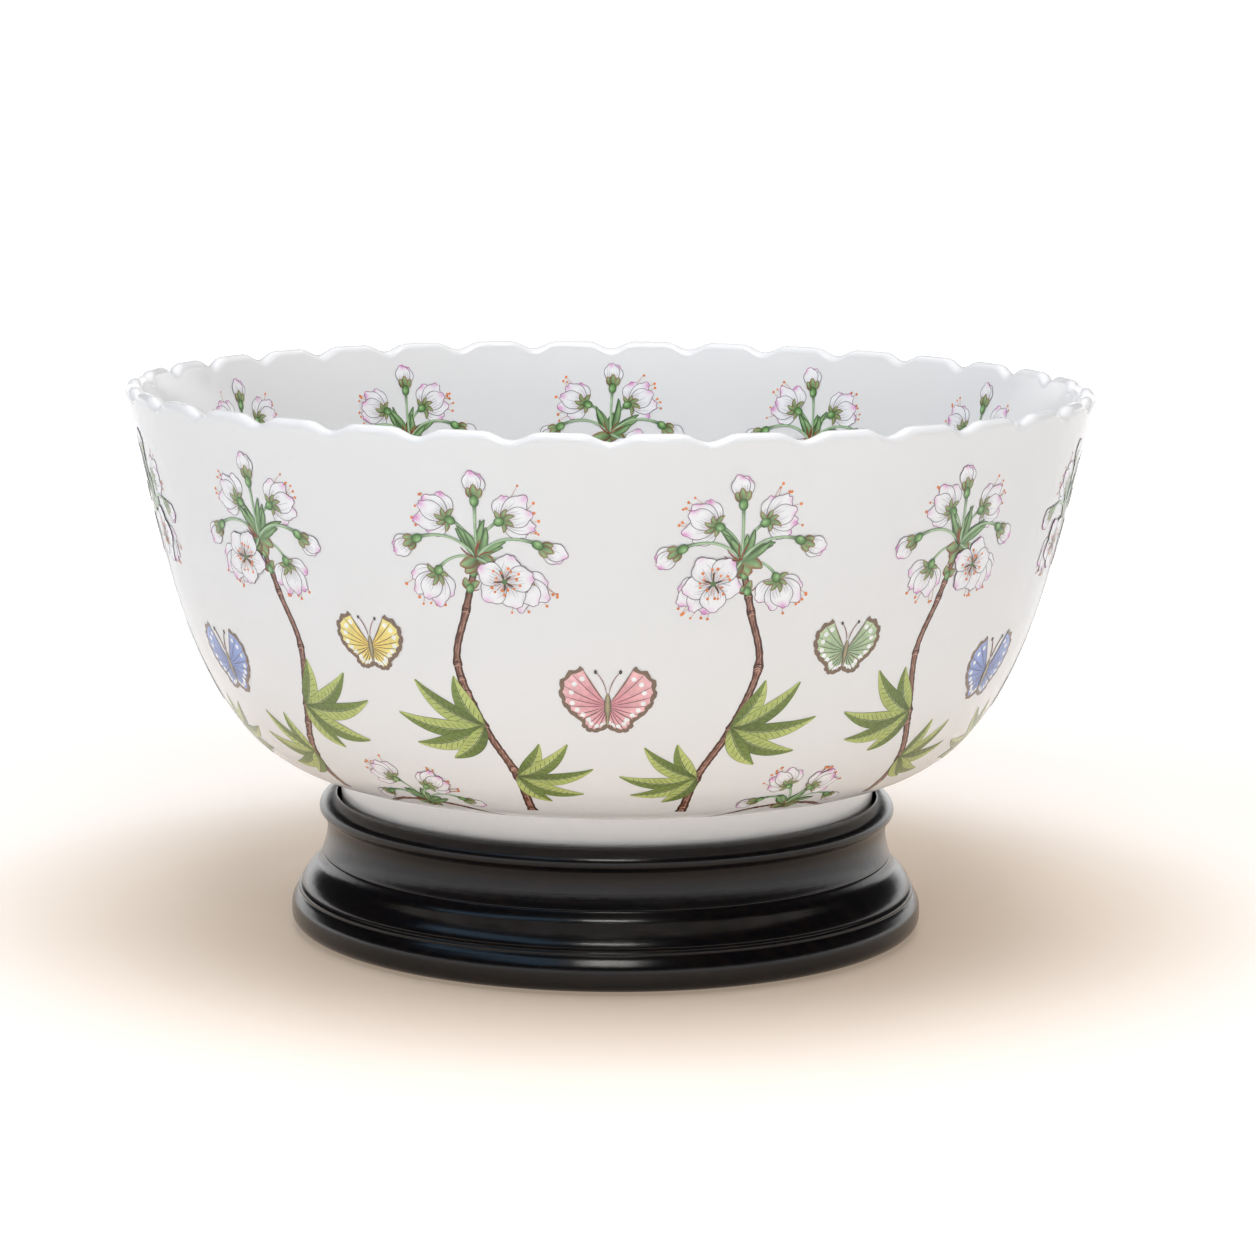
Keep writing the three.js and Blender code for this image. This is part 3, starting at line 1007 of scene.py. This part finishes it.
# Colour at the body, colour at the edge, dots.
BUTTERFLIES = {
    "blue": (paint(92, 112, 168), paint(140, 158, 204), paint(226, 230, 238)),
    "yellow": (paint(206, 178, 92), paint(226, 206, 136), paint(244, 236, 208)),
    "rose": (paint(190, 128, 136), paint(222, 172, 174), paint(244, 226, 226)),
    "sage": (paint(132, 154, 120), paint(176, 192, 158), paint(232, 238, 224)),
}
SCHEMES = tuple(BUTTERFLIES)


HIND_WING = ((112, 185), (9.5, 12.5, 13.5, 11.0, 8.0))
FORE_WING = ((30, 122), (18.5, 20.5, 18.0, 14.5, 11.5))
BUTTERFLY_LEVEL = 0.06


def mirrored(place):
    """The same placement with left and right swapped; a grid's columns are turned round too."""

    def swapped(q):
        points = place(np.conj(q))
        return points[..., ::-1] if np.ndim(q) == 2 else points

    return swapped


def butterfly(sheet, x, v, turn, size, scheme):
    """A butterfly from above, its head towards turn, in degrees."""
    colours = BUTTERFLIES[scheme]
    level = BUTTERFLY_LEVEL
    place = sheet.placed(complex(x, v), math.radians(turn), size)
    for half in (place, mirrored(place)):
        for angles, radii in (HIND_WING, FORE_WING):
            wing(sheet, half, np.linspace(*angles, 5), radii, colours, level)
            level += 4 * LAYER
    t = np.linspace(-0.97, 0.97, 12)[:, None]
    across = np.array([1, 0.5, 0, -0.5, -1])[None, :]
    girth = np.where(t > -0.1, 1.35, 0.95) * np.sqrt(1 - t**2)
    rings = 0.5 + 0.5 * np.sin(t * 26)
    back = mix(DARK_INK, FUR, 0.8 - np.abs(across) * 0.7 + 0 * t)
    fur = mix(back, DARK_INK, 0.3 * rings * (t < 0))
    sheet.lay("wings", place(7.2 * t - 1.5 + 1j * girth * across), fur, level)
    for side in (1, -1):
        tip = 14.5 + 4.5j * side
        sheet.line(place(bow(5.4 + 0.5j * side, tip, -0.08 * side)), 0.26, RED_BROWN, level, "wings")
        knob = complex(place(tip))
        sheet.dot(knob, 0.6 * size, DARK_INK, level + LAYER, "wings", 1.5, math.radians(turn))


# ---------------------------------------------------------------- decoration: where the motifs go


# A plain frieze of this script's own: one sprig at even steps all the way round, every other one mirrored.
REPEATS = 6
STEP = HALF_WAY_ROUND / REPEATS
TWIG = ((0, 131), (5, 112), (10, 92), (3, 68), (-7, 46), (-9, 24))
LEAF_FAN = ((66, 21), (38, 28), (8, 31), (-22, 28), (-50, 20))
CROWN = ("side", "bud", "side", "bud", "side", "bud", "side")
LOW_CROWN = ("bud", "side", "side", "bud")
TUFT_LEVEL = FLOWER_LEVEL + 0.02
UPWARDS = 90
# Height up the wall and size of the butterfly to the right of a sprig, by the sprig's way.
BUTTERFLY_PLACES = {1: (96, 0.72), -1: (78, 0.9)}


def crown(sheet, heart, kinds, first, last, reaches, size):
    """Flowers on stems from heart, evenly spread from one direction to another, in degrees."""
    place = sheet.placed(heart)
    for i, kind in enumerate(kinds):
        angle = math.radians(first + (last - first) * i / (len(kinds) - 1) + sheet.draw.uniform(-6, 6))
        middle = complex(place(reaches[i % 2] * sheet.draw.uniform(0.94, 1.03) * cmath.exp(1j * angle)))
        flower(sheet, kind, heart, middle.real, middle.imag, 0.18 * math.cos(angle), size, i % 2)


def leaves_at(sheet, node, way, size):
    """A fan of leaves to the right of a twig for way 1, to its left for way -1."""
    place = sheet.placed(complex(*node))
    fan = []
    for angle, length in LEAF_FAN:
        ray = cmath.exp(1j * math.radians(angle + sheet.draw.uniform(-5, 5)))
        tip = complex(place(size * length * complex(way * ray.real, ray.imag)))
        fan.append((tip.real, tip.imag, 7.0 * size, -0.1 * way))
    leaf_cluster(sheet, node, fan)


def sprig(sheet, x, way):
    """A twig that rises in an S, with leaves at two of its knuckles and a crown of blossom at its tip."""
    nodes = [(x + way * across, v) for across, v in TWIG]
    heart = complex(*nodes[0])
    branch(sheet, nodes, 2.4, 3.2, 0.03)
    leaves_at(sheet, nodes[3], way, 1.0)
    leaves_at(sheet, nodes[4], -way, 0.85)
    neck = complex(*nodes[1]) - heart
    scales = [heart + share * neck for share in (0.3, 0.6, 0.9)]
    bracts(sheet, [(q.real, q.imag) for q in scales], LEAF_LEVEL)
    crown(sheet, heart, CROWN, -38, 218, (20, 25), 1.0)
    flower(sheet, "open", heart, heart.real - way * 9, heart.imag - 8, 0.1, 0.9, 2)
    tuft(sheet, heart, math.radians(UPWARDS), 1.0, TUFT_LEVEL)


def low_sprig(sheet, x):
    """A short arched twig near the foot."""
    branch(sheet, [(x - 34, 14), (x - 14, 24), (x + 12, 24), (x + 34, 14)], 1.6, 1.9, 0.03)
    heart = complex(x, 25)
    crown(sheet, heart, LOW_CROWN, 12, 168, (19, 17), 0.85)
    tuft(sheet, heart, math.radians(UPWARDS), 0.75, TUFT_LEVEL)


def frieze(sheet, first):
    """Half of the ring: the sprigs from number first on, and what stands in the gap to their right."""
    for i in range(first, first + REPEATS):
        x = (i - first - (REPEATS - 1) / 2) * STEP
        gap = x + STEP / 2
        way = 1 if i % 2 else -1
        sprig(sheet, x, way)
        if way == 1:
            low_sprig(sheet, gap)
        v, size = BUTTERFLY_PLACES[way]
        butterfly(sheet, gap, v, UPWARDS, size, SCHEMES[i % len(SCHEMES)])


def make_decoration():
    transfers = []
    for half, start, first, seed in (("front", 0.0, 0, 11), ("back", HALF_WAY_ROUND, REPEATS, 17)):
        outside = Transfer("outside", half, outer_wall(), seed)
        outside.shift = start
        inside = Transfer("inside", half, inner_wall()[::-1], seed + 12)
        inside.shift = start + STEP / 2
        for sheet in (outside, inside):
            frieze(sheet, first)
        transfers += [outside, inside]
    finishes = {family: enamel("enamel_" + family, *look) for family, look in FAMILIES.items()}
    for transfer in transfers:
        for family, piece in transfer.pieces():
            piece.data.materials.append(finishes[family])
            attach(piece, "bowl")


# ---------------------------------------------------------------- stage, lights and camera


HORIZON = 150.0
BAND_DEPTH = 48.0
STAGE_SIDES = 96
FLOOR_NEAR = (0.76, 0.64, 0.54)
FLOOR_FAR = (0.84, 0.83, 0.82)
# Colours of the floor's painted glow: warm near the stand, white far from it.
GLOW_NEAR = (1.0, 0.80, 0.62)
GLOW_FAR = (1.0, 1.0, 1.0)


def make_stage():
    """A pale floor, faintly peach round the stand and white further out, and an upright white band that
    closes its edge. Both carry a painted glow. It is weak and warm near the stand, where it throws warm
    light onto the bowl's lower wall, and bright white further out and on the band."""
    f = Finish("pale_floor_painted_glow", Roughness=0.6)
    away = f.add("ShaderNodeVectorMath", operation="LENGTH")
    f.link(f.coordinates, away.inputs[0])
    far = f.ranged(away.outputs["Value"], 0.12, 0.27, 0.0, 1.0)
    f.set("Base Color", f.mixed(far, FLOOR_NEAR, FLOOR_FAR))
    # Painted glow: the floor glows weakly and warm round the stand, which lights the bowl's lower wall
    # warm, and brighter and white further out.
    whiter = f.ranged(away.outputs["Value"], 0.20, 0.55, 0.0, 1.0)
    f.set("Emission Color", f.mixed(whiter, GLOW_NEAR, GLOW_FAR))
    f.set("Emission Strength", f.ranged(away.outputs["Value"], 0.06, 1.4, 0.26, 0.95))
    bpy.ops.mesh.primitive_circle_add(vertices=STAGE_SIDES, radius=HORIZON, fill_type="NGON")
    floor = bpy.context.object
    floor.name = "floor"
    bpy.ops.mesh.primitive_cylinder_add(
        vertices=STAGE_SIDES, radius=HORIZON - 0.5, depth=BAND_DEPTH, end_fill_type="NOTHING"
    )
    band = bpy.context.object
    band.name = "horizon_band"
    for surface in (floor, band):
        surface.data.materials.append(f.material)


def area_light(name, azimuth, elevation, distance, width, height, power, colour):
    """A soft box aimed at the object. Azimuth 0 is at the front, 90 to the right."""
    target = Vector((0, 0, (LIP_TOP_Z + TOP_Z) / 2 / MM))
    a, e = math.radians(azimuth), math.radians(elevation)
    way = Vector((math.sin(a) * math.cos(e), -math.cos(a) * math.cos(e), math.sin(e)))
    data = bpy.data.lights.new(name, "AREA")
    data.shape = "RECTANGLE"
    data.size, data.size_y = width, height
    data.energy = power
    data.color = colour
    lamp = bpy.data.objects.new(name, data)
    lamp.location = target + way * distance
    lamp.rotation_euler = way.to_track_quat("Z", "Y").to_euler()
    bpy.context.scene.collection.objects.link(lamp)


def make_lights():
    area_light("key_box", 1.5, 40, 2.2, 0.65, 0.13, 7.3, (1.0, 0.98, 0.93))
    area_light("front_top_box", 0, 78, 1.05, 0.6, 0.5, 9.4, (0.99, 0.98, 1.0))
    area_light("sky_front_left", -50, 42, 2.4, 2.2, 0.6, 6.0, (0.42, 0.70, 1.0))
    area_light("rear_box", 180, 60, 2.2, 2.0, 1.2, 9.0, (1.0, 0.98, 0.96))
    world = bpy.data.worlds.new("studio")
    world.use_nodes = True
    world.node_tree.nodes["Background"].inputs["Color"].default_value = (0.92, 0.95, 1.0, 1.0)
    world.node_tree.nodes["Background"].inputs["Strength"].default_value = 0.03
    bpy.context.scene.world = world
    bpy.context.scene.view_settings.view_transform = "Standard"


def make_camera():
    """At the photograph's viewing angle: nine degrees down, panned and rolled a little."""
    data = bpy.data.cameras.new("camera")
    data.lens = 110.7
    data.sensor_width = 36.0
    data.clip_start, data.clip_end = 0.05, 2 * HORIZON
    camera = bpy.data.objects.new("camera", data)
    pan, tilt, roll = math.radians(-0.293), math.radians(90 - 9.144), math.radians(0.61)
    turn = Matrix.Rotation(pan, 4, "Z") @ Matrix.Rotation(tilt, 4, "X") @ Matrix.Rotation(roll, 4, "Z")
    camera.matrix_world = Matrix.Translation((0, -1.4238, 0.3410)) @ turn
    bpy.context.scene.collection.objects.link(camera)
    bpy.context.scene.camera = camera


make_camera()
make_stage()
make_lights()
make_bowl()
make_stand()
make_felt()
make_decoration()
